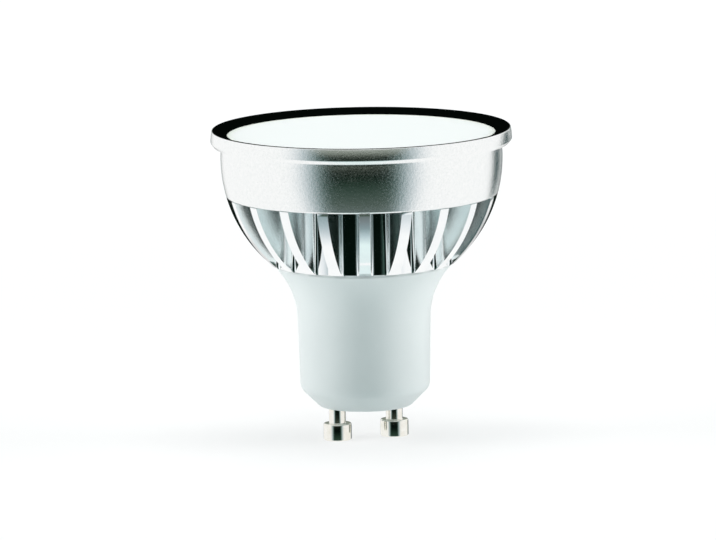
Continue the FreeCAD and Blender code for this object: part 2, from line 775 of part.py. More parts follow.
def mirror(body, features):
    """Repeat features on the other side of the body's middle plane."""
    mirrored = body.newObject("PartDesign::Mirrored", f"{body.Name}_mirrored")
    mirrored.Originals = features
    mirrored.MirrorPlane = (origin_feature(body, "YZ_Plane"), [""])
    body.Tip = mirrored
    doc.recompute()


def can_capacitor(label, wide, height, lift, off_middle, side):
    """An electrolytic can that lies along the driver board, on its front or back."""
    body = new_body(label)
    edge = s.can_edge
    groove = s.can_groove
    revolve(body, f"{label}_turned", [
        (0, 0),
        (wide - edge, 0),
        (wide, edge),
        (wide, edge + groove),
        (wide - groove, edge + groove * 2),
        (wide, edge + groove * 3),
        (wide, height - edge),
        (wide - edge, height),
        (0, height),
    ])
    lead = bent_lead(body, label, s.can_lead_spacing / 2, as_size(0), -1, wide)
    mirror(body, [lead])
    lay_on_board(body, wide, lift, -off_middle - wide, side)
    return body


def lay_on_board(body, stand_off, lift, offset, side):
    """Put a component against the driver board: side is FRONT or BACK."""
    if side == BACK:
        body.Placement = FreeCAD.Placement(
            FreeCAD.Vector(0, 0, 0), FreeCAD.Rotation(FreeCAD.Vector(0, 0, 1), FULL_TURN / 2)
        )
    place(body, x=offset, y=(driver_face + stand_off) * side, z=driver_foot + lift)


def filter_choke():
    """Drum choke: two flanges with the winding between them."""
    body = new_body("filter_choke")
    wide = radius_beside(s.choke_side, s.choke_gap)
    waist = wide - s.choke_waist
    revolve(body, "choke_turned", [
        (0, 0),
        (wide, 0),
        (wide, s.choke_flange),
        (waist, s.choke_flange),
        (waist, s.choke_height - s.choke_flange),
        (wide, s.choke_height - s.choke_flange),
        (wide, s.choke_height),
        (0, s.choke_height),
    ])
    lay_on_board(body, wide, s.choke_lift, s.choke_side + wide, FRONT)
    return body


def flat_component(label, width, height, depth, lift, offset, legs):
    """A flat moulded component on the back of the driver board, with legs on both sides."""
    body = new_body(label)
    half = width / 2
    block = new_sketch(body, f"{label}_block_sketch", "XZ_Plane")
    draw_box(block, -half, 0, half, height)
    pad(body, block, depth)
    feet = new_sketch(body, f"{label}_feet_sketch", "XZ_Plane")
    pitch = height / legs
    for number in range(int(legs.value)):
        low = pitch * number + pitch / 2 - s.leg_width / 2
        for side in BOTH_SIDES:
            tip = (half + s.leg_length) * side
            draw_box(feet, half * side, low, tip, low + s.leg_width)
    pad(body, feet, s.leg_thickness)
    lay_on_board(body, as_size(0), lift, offset, BACK)
    return body


def fuse_resistor():
    """Fuse resistor with its two end caps, on leads that turn to the board."""
    body = new_body("fuse_resistor")
    wide = s.fuse_dia / 2
    waist = wide - s.fuse_waist
    revolve(body, "fuse_turned", [
        (0, 0),
        (wide, 0),
        (wide, s.fuse_cap),
        (waist, s.fuse_cap + s.fuse_waist),
        (waist, s.fuse_height - s.fuse_cap - s.fuse_waist),
        (wide, s.fuse_height - s.fuse_cap),
        (wide, s.fuse_height),
        (0, s.fuse_height),
    ])
    reach = wide + s.fuse_gap
    bent_lead(body, "fuse_low", 0, as_size(0), -1, reach)
    bent_lead(body, "fuse_high", 0, s.fuse_height, 1, reach)
    lay_on_board(body, reach, s.fuse_lift, s.fuse_offset, BACK)
    return body


def swept_wire(label, plane, path, arcs, foot):
    """A round lead along a flat path that starts straight up."""
    body = new_body(label)
    spine = new_sketch(body, f"{label}_path", plane)
    draw(spine, path, arcs, closed=False)
    section = new_sketch(body, f"{label}_section", "XY_Plane", foot)
    start_x, _ = path[0]
    x, y = (start_x, 0) if plane == "XZ_Plane" else (0, start_x)
    draw_circle(section, x, y, s.wire_dia)
    doc.recompute()
    lead = body.newObject("PartDesign::AdditivePipe", f"{label}_sweep")
    lead.Profile = section
    lead.Spine = spine
    doc.recompute()
    return body


def pin_wire(label, x):
    """Lead from a pin's crimp bore, with two like bends, to the front of the driver board."""
    start = underside + s.pin_shank_height - s.pin_bore_depth + s.wire_seat
    side_step = driver_face + s.wire_dia / 2
    bend = s.wire_bend
    half_rise = root(bend * side_step - side_step * side_step / 4)
    bend_top = driver_foot
    bend_middle = bend_top - half_rise
    bend_foot = bend_middle - half_rise
    body = swept_wire(label, "YZ_Plane", [
        (0, start),
        (0, bend_foot),
        (-side_step / 2, bend_middle),
        (-side_step, bend_top),
        (-side_step, bend_top + s.wire_lap),
    ], {1: (bend, COUNTER), 2: (bend, CLOCKWISE)}, start)
    place(body, x=x)
    return body


def led_wire(label, side):
    """Lead from the top of the driver board, through the plate, out over the LED board."""
    start = driver_foot + s.driver_height - s.wire_lap
    run = board_top + s.wire_dia / 2
    upright = s.led_wire_spacing / 2 * side
    turn_out = upright + s.wire_bend * side
    body = swept_wire(label, "XZ_Plane", [
        (upright, start),
        (upright, run - s.wire_bend),
        (turn_out, run),
        (turn_out + s.wire_lap * side, run),
    ], {1: (s.wire_bend, COUNTER if side < 0 else CLOCKWISE)}, start)
    place(body, y=-driver_face - s.wire_dia / 2)
    return body


def build():
    half_spacing = s.pin_spacing / 2
    head_seat = plate_top - s.base_screw_head_height - s.screw_gap
    return [
        contact_pin("contact_pin_left", -half_spacing),
        contact_pin("contact_pin_right", half_spacing),
        base_housing(),
        heat_sink(),
        front_ring(),
        bezel_ring(),
        diffuser(),
        drilled_disc("thermal_pad", led_board_edge - s.pad_margin, s.pad_thickness, plate_top),
        drilled_disc("led_board", led_board_edge, s.led_board_thickness, board_foot),
        led_emitters(),
        screw_pair("board_screws", board_screw_reach, 0, board_top, s.board_screw_dia,
                   s.board_screw_length, s.board_screw_head_dia, s.board_screw_head_height),
        screw_pair("base_screws", 0, base_screw_reach, head_seat, s.base_screw_dia,
                   s.base_screw_length, s.base_screw_head_dia, s.base_screw_head_height),
        driver_board(),
        *transformer(),
        can_capacitor("input_capacitor", radius_beside(s.input_can_side, s.input_can_gap),
                      s.input_can_height, s.input_can_lift, s.input_can_side, FRONT),
        can_capacitor("output_capacitor", radius_beside(s.output_can_side, s.output_can_gap),
                      s.output_can_height, s.output_can_lift, s.output_can_side, BACK),
        filter_choke(),
        flat_component("bridge_rectifier", s.bridge_width, s.bridge_height, s.bridge_depth,
                       s.bridge_lift, -s.bridge_offset, s.bridge_legs),
        flat_component("driver_chip", s.chip_width, s.chip_height, s.chip_depth,
                       s.chip_lift, s.chip_offset, s.chip_legs),
        fuse_resistor(),
        pin_wire("pin_wire_left", -half_spacing),
        pin_wire("pin_wire_right", half_spacing),
        led_wire("led_wire_positive", 1),
        led_wire("led_wire_negative", -1),
    ]


def check(bodies):
    """Stop before anything is written if a feature or a finished shape is not sound."""
    doc.recompute()
    for item in doc.Objects:
        if "Invalid" in item.State or "Error" in item.State:
            raise RuntimeError(f"{item.Name}: {item.State}")
    for body in bodies:
        if body.Shape.isNull() or not body.Shape.isValid():
            raise RuntimeError(f"{body.Label} has no valid shape")


bodies = build()
check(bodies)
os.makedirs("parts", exist_ok=True)
for body in bodies:
    body.Shape.exportStep(f"parts/{body.Label}.step")
    print(body.Label, len(body.Shape.Solids), round(body.Shape.Volume, 2))
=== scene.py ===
import math

import bmesh
import bpy
from mathutils import Matrix, Vector


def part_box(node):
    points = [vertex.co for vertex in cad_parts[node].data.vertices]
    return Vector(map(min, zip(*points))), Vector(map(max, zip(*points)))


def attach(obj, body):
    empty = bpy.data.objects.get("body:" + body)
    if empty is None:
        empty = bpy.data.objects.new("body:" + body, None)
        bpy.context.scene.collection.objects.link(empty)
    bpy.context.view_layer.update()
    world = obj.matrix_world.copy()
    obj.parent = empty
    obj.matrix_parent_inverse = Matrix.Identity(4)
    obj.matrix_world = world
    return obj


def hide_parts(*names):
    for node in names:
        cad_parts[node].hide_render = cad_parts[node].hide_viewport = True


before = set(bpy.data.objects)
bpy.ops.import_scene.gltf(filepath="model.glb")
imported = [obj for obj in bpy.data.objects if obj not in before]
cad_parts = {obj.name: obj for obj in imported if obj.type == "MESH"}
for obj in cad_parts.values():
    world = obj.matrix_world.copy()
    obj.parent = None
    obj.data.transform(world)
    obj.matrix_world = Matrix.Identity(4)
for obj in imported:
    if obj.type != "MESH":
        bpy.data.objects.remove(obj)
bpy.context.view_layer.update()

MM = 0.001
SIDES = 256
PIN_SIDES = 96
WELD = 0.0005 * MM
NEAR = 0.002 * MM
ROUND_SEGMENTS = 4
SMOOTH_ANGLE = math.radians(32)

# Levels and radii of the lamp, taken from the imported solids
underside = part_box("base_housing")[0].z
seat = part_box("heat_sink")[0].z
plate_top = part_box("heat_sink")[1].z
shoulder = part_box("front_ring")[0].z
rim_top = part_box("front_ring")[1].z
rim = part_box("front_ring")[1].x
front_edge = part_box("bezel_ring")[1].z
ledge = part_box("bezel_ring")[0].z
cover_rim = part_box("diffuser")[1].x
cover_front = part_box("diffuser")[1].z
cover_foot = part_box("diffuser")[0].z
sleeve_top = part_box("base_housing")[1].z
pin_low, pin_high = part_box("contact_pin_right")
pin_x = (pin_low.x + pin_high.x) / 2
pin_foot = (pin_high.x - pin_low.x) / 2

# Sizes of the heat sink that the boxes don't give
CORE = 15.1 * MM
CORE_FOOT_ROUND = 0.1 * MM
CORE_TOP_ROUND = 0.25 * MM
SLEEVE = 11.0 * MM
SLEEVE_GAP = 0.15 * MM
WIRE_HOLE = 2.5 * MM
FIN_COUNT = 20
FIN_TOE = 0.2 * MM
FIN_EDGE = 1.75 * MM
FIN_ROOT = 1.9 * MM
FIN_ROUND = 0.6 * MM
FIN_SINK = 0.5 * MM
FIN_CRISP = 0.09 * MM
FIN_CRISP_STEPS = 3
FIN_CRISP_ANGLE = math.radians(40)
FIN_TIP_LEAST = 0.02 * MM
FIN_LEVELS = 24
FIN_ROUND_STEPS = 8
FIN_NEAR = 0.001 * MM

# Sizes of the front ring
RIM_OVERHANG = 1.6 * MM
RIM_HEIGHT = 2.05 * MM
RIM_SLOPE = 0.8 * MM
RIM_CROWN = 0.2 * MM
RIM_EDGE = 0.08 * MM
RIM_EDGE_ROUND = 0.05 * MM
RIM_DROP = 0.1 * MM
RIM_BEVEL = 0.45 * MM
RIM_BEVEL_HEIGHT = 0.58 * MM
RIM_FOOT_ROUND = 0.1 * MM
RIM_WALL = 0.85 * MM
LIP_START = 0.05
LIP_STEPS = 10
RING_WALL = 1.4 * MM
RING_FIT = 0.1 * MM
BAND_STEPS = 28
BAND_FOOT_ROUND = 0.35 * MM
BAND_TOP_ROUND = 0.06 * MM

# Sizes of the bezel and the cover
BEZEL_FIT = 0.05 * MM
BEZEL_FLANGE_FIT = 0.02 * MM
BEZEL_RISE = 0.08 * MM
BEZEL_SKIRT = 0.75 * MM
BEZEL_LIP = 1.05 * MM
BEZEL_LAND = 0.3 * MM
BEZEL_LAND_ROUND = 0.06 * MM
BEZEL_NOSE = 0.2 * MM
BEZEL_NOSE_ROUND = 0.05 * MM
COVER_WEB = 1.2 * MM
COVER_FIT = 0.05 * MM
COVER_ROUND = 0.08 * MM
COVER_MIDDLE = 2 * MM
COVER_STEPS = 10
POLE = 0.1 * MM
POLE_SEARCH = 0.2 * MM

# Sizes of the base
BASE_FOOT = 7.6 * MM
BASE_FOOT_ROUND = 0.4 * MM
BASE_BEVEL = 3.1 * MM
BASE_BEVEL_ROUND = 0.8 * MM
BASE_FLOOR = 2.0 * MM
NECK_LOW = 10.75 * MM
NECK_HIGH = 11.05 * MM
NECK_HEIGHT = 15.5 * MM
NECK_STEPS = 10
FLARE = 13.5 * MM
FLARE_STEPS = 16
FLANGE_INSET = 0.5 * MM
FLANGE_EDGE = 0.5 * MM
FLANGE_ROUND = 0.12 * MM
CAVITY = 9.3 * MM
CAVITY_FOOT = 6.4 * MM
CAVITY_BEVEL = 2.7 * MM

# Sizes of the contact pins
PIN_FOOT_HEIGHT = 2.8 * MM
PIN_FOOT_EDGE = 0.15 * MM
PIN_FOOT_ROUND = 0.06 * MM
PIN_STEM = 1.4 * MM
PIN_STEM_ROUND = 0.1 * MM
PIN_SHANK = 1.1 * MM
PIN_BORE = 0.55 * MM
PIN_BORE_DEPTH = 2.4 * MM

bowl = rim - RIM_OVERHANG
bowl_foot = CORE + FIN_TOE
bowl_middle = seat + math.sqrt(bowl ** 2 - bowl_foot ** 2)


def bowl_reach(level):
    """Radius of the ball that fins and band follow, at a level."""
    return math.sqrt(bowl ** 2 - (bowl_middle - level) ** 2)


def steps(first, last, count):
    """Numbers from first to last, in even steps."""
    return [first + (last - first) * number / count for number in range(count + 1)]


# Modelling

def select_only(piece):
    """Make a piece the active one, with nothing else selected."""
    bpy.ops.object.select_all(action="DESELECT")
    bpy.context.view_layer.objects.active = piece
    piece.select_set(True)


def keep_place_in_mesh():
    """Put the selected piece's place into its mesh, so that its object sits at the origin."""
    bpy.ops.object.transform_apply(location=True, rotation=True, scale=True)


def pick(piece, test):
    """Select the points of a piece in edit mode that pass a test, and what lies between them."""
    bpy.ops.mesh.select_mode(type="VERT")
    bpy.ops.mesh.select_all(action="DESELECT")
    mesh = bmesh.from_edit_mesh(piece.data)
    for point in mesh.verts:
        point.select = test(point.co)
    mesh.select_flush(True)
    bmesh.update_edit_mesh(piece.data)


def draw_out(*move):
    """Extrude what is selected and move it."""
    bpy.ops.mesh.extrude_region_move(TRANSFORM_OT_translate={"value": move})


def resize_about_axis(x, y):
    """Resize what is selected, outwards from the lamp's axis."""
    bpy.ops.transform.resize(value=(x, y, 1), center_override=(0, 0, 0))


def face_outwards():
    """Select all faces of the piece in edit mode and turn them outwards."""
    bpy.ops.mesh.select_all(action="SELECT")
    bpy.ops.mesh.normals_make_consistent(inside=False)


def soften_loops(piece, loops, size):
    """Round the full circles of a turned piece that lie at the given radii and levels."""
    for radius, level in loops:
        pick(piece, lambda co: abs(math.hypot(co.x, co.y) - radius) < NEAR and abs(co.z - level) < NEAR)
        bpy.ops.mesh.bevel(offset=size, segments=ROUND_SEGMENTS, affect="EDGES")


def turned(name, profile, rounds=(), sides=SIDES, closed=True):
    """Turn a profile of (radius, level): a ring is drawn out from each place to the next."""
    bpy.ops.object.select_all(action="DESELECT")
    radius, level = profile[0]
    bpy.ops.mesh.primitive_circle_add(vertices=sides, radius=radius, location=(0, 0, level))
    piece = bpy.context.object
    piece.name = name
    keep_place_in_mesh()
    bpy.ops.object.mode_set(mode="EDIT")
    bpy.ops.mesh.select_all(action="SELECT")
    route = profile[1:] + profile[:1] if closed else profile[1:]
    for next_radius, next_level in route:
        draw_out(0, 0, next_level - level)
        scale = next_radius / radius
        resize_about_axis(scale, scale)
        radius, level = next_radius, next_level
    bpy.ops.mesh.select_all(action="SELECT")
    bpy.ops.mesh.remove_doubles(threshold=WELD)
    face_outwards()
    for loops, size in rounds:
        soften_loops(piece, loops, size)
    bpy.ops.object.mode_set(mode="OBJECT")
    return piece


def close_poles(piece, levels):
    """Draw the small rings on the axis at the given levels into points."""
    bpy.ops.object.mode_set(mode="EDIT")
    for level in levels:
        pick(piece, lambda co: abs(co.z - level) < NEAR and math.hypot(co.x, co.y) < POLE_SEARCH)
        bpy.ops.mesh.merge(type="CENTER")
    face_outwards()
    bpy.ops.object.mode_set(mode="OBJECT")


def finish_piece(piece, material, nodes):
    """Smooth the piece, give it its finish, and let it stand for its CAD nodes."""
    select_only(piece)
    bpy.ops.object.shade_smooth_by_angle(angle=SMOOTH_ANGLE)
    piece.data.materials.clear()
    piece.data.materials.append(material)
    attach(piece, "root")
    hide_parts(*nodes)


# Shader nodes

def new_material(name):
    material = bpy.data.materials.new(name)
    material.use_nodes = True
    return material, material.node_tree, material.node_tree.nodes["Principled BSDF"]


def object_noise(tree, scale, detail=4.0, roughness=0.55, stretch=(1, 1, 1)):
    """Noise in metres of the object, with a size of about one over scale."""
    place = tree.nodes.new("ShaderNodeTexCoord")
    mapping = tree.nodes.new("ShaderNodeMapping")
    mapping.inputs["Scale"].default_value = stretch
    noise = tree.nodes.new("ShaderNodeTexNoise")
    noise.inputs["Scale"].default_value = scale
    noise.inputs["Detail"].default_value = detail
    noise.inputs["Roughness"].default_value = roughness
    tree.links.new(place.outputs["Object"], mapping.inputs["Vector"])
    tree.links.new(mapping.outputs["Vector"], noise.inputs["Vector"])
    return noise.outputs["Fac"]


def object_distance(tree, middle=(0, 0, 0), stretch=(1, 1, 1)):
    """Distance from a place on the object, in metres; a stretch of 0 leaves that direction out."""
    place = tree.nodes.new("ShaderNodeTexCoord")
    mapping = tree.nodes.new("ShaderNodeMapping")
    mapping.inputs["Location"].default_value = [-number for number in middle]
    mapping.inputs["Scale"].default_value = stretch
    length = tree.nodes.new("ShaderNodeVectorMath")
    length.operation = "LENGTH"
    tree.links.new(place.outputs["Object"], mapping.inputs["Vector"])
    tree.links.new(mapping.outputs["Vector"], length.inputs[0])
    return length.outputs["Value"]


def ramp(tree, factor, stops):
    """Colours along a factor."""
    node = tree.nodes.new("ShaderNodeValToRGB")
    elements = node.color_ramp.elements
    while len(elements) < len(stops):
        elements.new(0.5)
    for element, (position, colour) in zip(elements, stops):
        element.position = position
        element.color = (*colour, 1)
    tree.links.new(factor, node.inputs["Fac"])
    return node.outputs["Color"]


def spread(tree, factor, low, high):
    """A factor of 0 to 1 spread from low to high."""
    node = tree.nodes.new("ShaderNodeMapRange")
    node.inputs["To Min"].default_value = low
    node.inputs["To Max"].default_value = high
    tree.links.new(factor, node.inputs["Value"])
    return node.outputs["Result"]


def between(tree, number, low, high, smooth=True):
    """0 below the low number, 1 above the high one, and smooth or straight between them."""
    node = tree.nodes.new("ShaderNodeMapRange")
    node.interpolation_type = "SMOOTHSTEP" if smooth else "LINEAR"
    node.inputs["From Min"].default_value = low
    node.inputs["From Max"].default_value = high
    tree.links.new(number, node.inputs["Value"])
    return node.outputs["Result"]


def blend(tree, share, first, second, kind="MIX"):
    """Mix two colours or colour sockets by a share."""
    node = tree.nodes.new("ShaderNodeMix")
    node.data_type = "RGBA"
    node.blend_type = kind
    sockets = {socket.identifier: socket for socket in node.inputs}
    if isinstance(share, (int, float)):
        sockets["Factor_Float"].default_value = share
    else:
        tree.links.new(share, sockets["Factor_Float"])
    for name, colour in (("A_Color", first), ("B_Color", second)):
        if isinstance(colour, tuple):
            sockets[name].default_value = (*colour, 1)
        else:
            tree.links.new(colour, sockets[name])
    return next(socket for socket in node.outputs if socket.identifier == "Result_Color")


def combine(tree, operation, first, second):
    """One number from two."""
    node = tree.nodes.new("ShaderNodeMath")
    node.operation = operation
    tree.links.new(first, node.inputs[0])
    tree.links.new(second, node.inputs[1])
    return node.outputs["Value"]


def bump(tree, shader, height, depth):
    node = tree.nodes.new("ShaderNodeBump")
    node.inputs["Strength"].default_value = 1
    node.inputs["Distance"].default_value = depth
    tree.links.new(height, node.inputs["Height"])
    tree.links.new(node.outputs["Normal"], shader.inputs["Normal"])


# Materials

def polished_aluminium():
    """Bright metal: core, roots and outer edges like a mirror, the walls of the fins ground fine and
    given a faint teal tint, which is a painted reflection colour.
    """
    material, tree, shader = new_material("polished_aluminium")
    shader.inputs["Metallic"].default_value = 1
    clouds = object_noise(tree, scale=260)
    tint = ramp(tree, clouds, [(0.35, (0.92, 0.945, 0.95)), (0.65, (0.96, 0.975, 0.975))])
    axis_distance = object_distance(tree, stretch=(1, 1, 0))
    past_root = between(tree, axis_distance, low=CORE + 0.1 * MM, high=CORE + 0.4 * MM)
    ball_distance = object_distance(tree, (0, 0, bowl_middle))
    at_edge = between(tree, ball_distance, low=bowl - 0.16 * MM, high=bowl - 0.08 * MM)
    wall = combine(tree, "MULTIPLY", past_root, spread(tree, at_edge, low=1, high=0))
    # Painted reflection: the walls' faint teal tint stands in for reflected teal light; their real grind
    # is only the added roughness below
    painted_reflection_tint = (0.97, 0.995, 0.995)
    tree.links.new(blend(tree, wall, tint, painted_reflection_tint, "MULTIPLY"), shader.inputs["Base Color"])
    marks = object_noise(tree, scale=900, detail=6, stretch=(1, 1, 0.15))
    polish = spread(tree, marks, low=0.03, high=0.1)
    rough = combine(tree, "ADD", polish, spread(tree, wall, low=0, high=0.08))
    tree.links.new(rough, shader.inputs["Roughness"])
    bump(tree, shader, object_noise(tree, scale=2600), depth=0.003 * MM)
    return material


def satin_aluminium():
    """Blasted metal: specks that differ in roughness glint where it mirrors the dark."""
    material, tree, shader = new_material("satin_aluminium")
    shader.inputs["Metallic"].default_value = 1
    grain = object_noise(tree, scale=2300, detail=4, roughness=0.7)
    tint = ramp(tree, grain, [(0.36, (0.9, 0.92, 0.915)), (0.64, (0.96, 0.97, 0.965))])
    tree.links.new(tint, shader.inputs["Base Color"])
    specks = object_noise(tree, scale=4200, detail=1)
    tree.links.new(spread(tree, specks, low=0.05, high=0.36), shader.inputs["Roughness"])
    bump(tree, shader, grain, depth=0.02 * MM)
    return material


def white_plastic():
    material, tree, shader = new_material("white_plastic")
    shader.inputs["Specular IOR Level"].default_value = 0.4
    clouds = object_noise(tree, scale=120)
    tint = ramp(tree, clouds, [(0.3, (0.85, 0.863, 0.862)), (0.7, (0.87, 0.88, 0.88))])
    tree.links.new(tint, shader.inputs["Base Color"])
    grain = object_noise(tree, scale=5000, detail=2)
    tree.links.new(spread(tree, grain, low=0.36, high=0.5), shader.inputs["Roughness"])
    bump(tree, shader, grain, depth=0.006 * MM)
    return material


def nickel_plate():
    material, tree, shader = new_material("nickel_plate")
    shader.inputs["Metallic"].default_value = 1
    clouds = object_noise(tree, scale=800)
    tint = ramp(tree, clouds, [(0.3, (0.84, 0.82, 0.74)), (0.7, (0.91, 0.9, 0.85))])
    tree.links.new(tint, shader.inputs["Base Color"])
    rings = object_noise(tree, scale=700, detail=5, stretch=(0.05, 0.05, 8))
    tree.links.new(spread(tree, rings, low=0.06, high=0.16), shader.inputs["Roughness"])
    bump(tree, shader, rings, depth=0.003 * MM)
    return material


def black_plastic():
    material, tree, shader = new_material("black_plastic")
    shader.inputs["Specular IOR Level"].default_value = 0
    grain = object_noise(tree, scale=4000, detail=3)
    tint = ramp(tree, grain, [(0.3, (0.0008, 0.0014, 0.001)), (0.7, (0.002, 0.0032, 0.0025))])
    tree.links.new(tint, shader.inputs["Base Color"])
    tree.links.new(spread(tree, grain, low=0.35, high=0.5), shader.inputs["Roughness"])
    bump(tree, shader, grain, depth=0.006 * MM)
    return material


def milky_cover():
    """White without gloss, a little yellower beside the bezel."""
    material, tree, shader = new_material("milky_cover")
    shader.inputs["Specular IOR Level"].default_value = 0
    shader.inputs["Roughness"].default_value = 0.35
    axis_distance = object_distance(tree, stretch=(1, 1, 0))
    outwards = between(tree, axis_distance, low=0, high=cover_rim, smooth=False)
    tint = ramp(tree, outwards, [
        (0.0, (0.96, 0.96, 0.955)),
        (0.9, (0.96, 0.96, 0.95)),
        (0.965, (0.93, 0.935, 0.85)),
    ])
    tree.links.new(tint, shader.inputs["Base Color"])
    bump(tree, shader, object_noise(tree, scale=3500, detail=2), depth=0.003 * MM)
    return material


def inner_finish(name, dark, light, scale, rough, metallic=0.0):
    """A finish for a piece inside the lamp: two tones of its colour, broken up at its own scale."""
    rough_spread = 0.08
    material, tree, shader = new_material(name)
    shader.inputs["Metallic"].default_value = metallic
    clouds = object_noise(tree, scale)
    tree.links.new(ramp(tree, clouds, [(0.35, dark), (0.65, light)]), shader.inputs["Base Color"])
    worn = spread(tree, clouds, low=rough - rough_spread, high=rough + rough_spread)
    tree.links.new(worn, shader.inputs["Roughness"])
    bump(tree, shader, clouds, depth=0.004 * MM)
    return material


polished = polished_aluminium()
satin = satin_aluminium()
plastic = white_plastic()
nickel = nickel_plate()
black = black_plastic()
milky = milky_cover()

# Pieces inside the lamp keep their CAD shape. Finishes: dark and light tone, scale, roughness, metal
soft_pad = inner_finish("soft_pad", (0.42, 0.43, 0.46), (0.55, 0.56, 0.58), 900, 0.7)
white_board = inner_finish("white_board", (0.84, 0.84, 0.8), (0.9, 0.9, 0.87), 600, 0.45)
phosphor = inner_finish("phosphor", (0.8, 0.62, 0.12), (0.9, 0.76, 0.22), 1500, 0.5)
zinc_steel = inner_finish("zinc_steel", (0.55, 0.55, 0.56), (0.72, 0.72, 0.73), 900, 0.3, 1.0)
green_board = inner_finish("green_board", (0.03, 0.2, 0.07), (0.06, 0.3, 0.12), 700, 0.4)
ferrite = inner_finish("ferrite", (0.06, 0.06, 0.065), (0.12, 0.12, 0.13), 1200, 0.6)
winding_tape = inner_finish("winding_tape", (0.6, 0.3, 0.1), (0.75, 0.44, 0.2), 500, 0.4)
can_sleeve = inner_finish("can_sleeve", (0.03, 0.04, 0.11), (0.06, 0.08, 0.18), 500, 0.3)
moulded_black = inner_finish("moulded_black", (0.015, 0.015, 0.016), (0.03, 0.03, 0.032), 1800, 0.5)
blue_lacquer = inner_finish("blue_lacquer", (0.22, 0.34, 0.44), (0.32, 0.45, 0.55), 800, 0.3)
white_silicone = inner_finish("white_silicone", (0.8, 0.8, 0.78), (0.9, 0.9, 0.88), 900, 0.55)
red_silicone = inner_finish("red_silicone", (0.5, 0.03, 0.02), (0.66, 0.06, 0.05), 900, 0.55)
black_silicone = inner_finish("black_silicone", (0.012, 0.012, 0.012), (0.03, 0.03, 0.03), 900, 0.55)

inner_finishes = {
    "thermal_pad": soft_pad,
    "led_board": white_board,
    "led_emitters": phosphor,
    "board_screws": zinc_steel,
    "base_screws": zinc_steel,
    "driver_board": green_board,
    "transformer_core": ferrite,
    "filter_choke": ferrite,
    "transformer_winding": winding_tape,
    "input_capacitor": can_sleeve,
    "output_capacitor": can_sleeve,
    "bridge_rectifier": moulded_black,
    "driver_chip": moulded_black,
    "fuse_resistor": blue_lacquer,
    "pin_wire_left": white_silicone,
    "pin_wire_right": white_silicone,
    "led_wire_positive": red_silicone,
    "led_wire_negative": black_silicone,
}
for node, material in inner_finishes.items():
    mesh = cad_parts[node].data
    mesh.materials.clear()
    mesh.materials.append(material)


# Front ring: the band goes on with the ball of the fins, and ends in the protruding rim

ring_bore = bowl_reach(shoulder) - RING_WALL
rim_foot = front_edge - RIM_HEIGHT
band_top = rim_foot - RIM_SLOPE
mouth = rim - RIM_WALL
edge_top = front_edge - RIM_DROP
edge_bore = rim - RIM_CROWN - RIM_EDGE
band = [(bowl_reach(level), level) for level in steps(shoulder, band_top, BAND_STEPS)]
lip_low = rim_foot + (edge_top - rim_foot) * LIP_START
lip = [
    (rim - RIM_CROWN * share ** 2, lip_low + (edge_top - lip_low) * share)
    for share in steps(0, 1, LIP_STEPS)
]
ring = turned("front_ring_turned", [
    (ring_bore, shoulder),
    *band,
    (rim - RIM_BEVEL, rim_foot - RIM_BEVEL_HEIGHT),
    (rim, rim_foot),
    *lip,
    (edge_bore, edge_top),
    (edge_bore, rim_top),
    (mouth, rim_top),
    (mouth, ledge),
    (ring_bore, ledge),
], rounds=[
    ([lip[-1]], RIM_EDGE_ROUND),
    ([(rim, rim_foot)], RIM_FOOT_ROUND),
    ([band[0]], BAND_FOOT_ROUND),
    ([band[-1]], BAND_TOP_ROUND),
])
finish_piece(ring, satin, ["front_ring"])


# Bezel and cover

bezel_flange = edge_bore - BEZEL_FLANGE_FIT
bezel_top = edge_top + BEZEL_RISE
bezel_outer = mouth - BEZEL_FIT
bezel_bore = bezel_outer - BEZEL_SKIRT
window = bezel_bore - BEZEL_LIP
bezel = turned("black_bezel", [
    (bezel_bore, ledge),
    (bezel_outer, ledge),
    (bezel_outer, rim_top),
    (bezel_flange, rim_top),
    (bezel_flange, bezel_top),
    (bezel_flange - BEZEL_LAND, bezel_top),
    (window, cover_front + BEZEL_NOSE),
    (window, cover_front),
    (bezel_bore, cover_front),
], rounds=[
    ([(bezel_flange, bezel_top), (bezel_flange - BEZEL_LAND, bezel_top)], BEZEL_LAND_ROUND),
    ([(window, cover_front + BEZEL_NOSE)], BEZEL_NOSE_ROUND),
])
finish_piece(bezel, black, ["bezel_ring"])

skirt = ring_bore - COVER_FIT
hollow = skirt - COVER_WEB
cover = turned("milky_front_cover", [
    (POLE, cover_front),
    *[(reach, cover_front) for reach in steps(COVER_MIDDLE, cover_rim, COVER_STEPS)],
    (cover_rim, ledge),
    (skirt, ledge),
    (skirt, cover_foot),
    (hollow, cover_foot),
    (hollow, cover_front - COVER_WEB),
    (POLE, cover_front - COVER_WEB),
], rounds=[([(cover_rim, cover_front)], COVER_ROUND)], closed=False)
close_poles(cover, [cover_front, cover_front - COVER_WEB])
finish_piece(cover, milky, ["diffuser"])


# Heat sink: a turned core and plate, and one fin that is copied round it

plate = ring_bore - RING_FIT
bore = SLEEVE + SLEEVE_GAP
bore_top = sleeve_top + SLEEVE_GAP
sink = turned("finned_heat_sink", [
    (bore, seat),
    (CORE, seat),
    (CORE, shoulder),
    (plate, shoulder),
    (plate, plate_top),
    (WIRE_HOLE, plate_top),
    (WIRE_HOLE, bore_top),
    (bore, bore_top),
], rounds=[([(CORE, seat)], CORE_FOOT_ROUND), ([(CORE, shoulder)], CORE_TOP_ROUND)])

# The round at a fin's root touches the core and the fin's wall, which leans in by the taper
round_reach = CORE + FIN_ROUND
taper = math.atan((FIN_ROOT - FIN_EDGE) / 2 / (bowl - round_reach))
aside = math.asin((FIN_ROOT / 2 + FIN_ROUND * math.cos(taper)) / round_reach)
round_middle = Vector((math.cos(aside), math.sin(aside))) * round_reach
floor_end = round_middle * (CORE / round_reach)
wall_foot = round_middle - Vector((math.sin(taper), math.cos(taper))) * FIN_ROUND


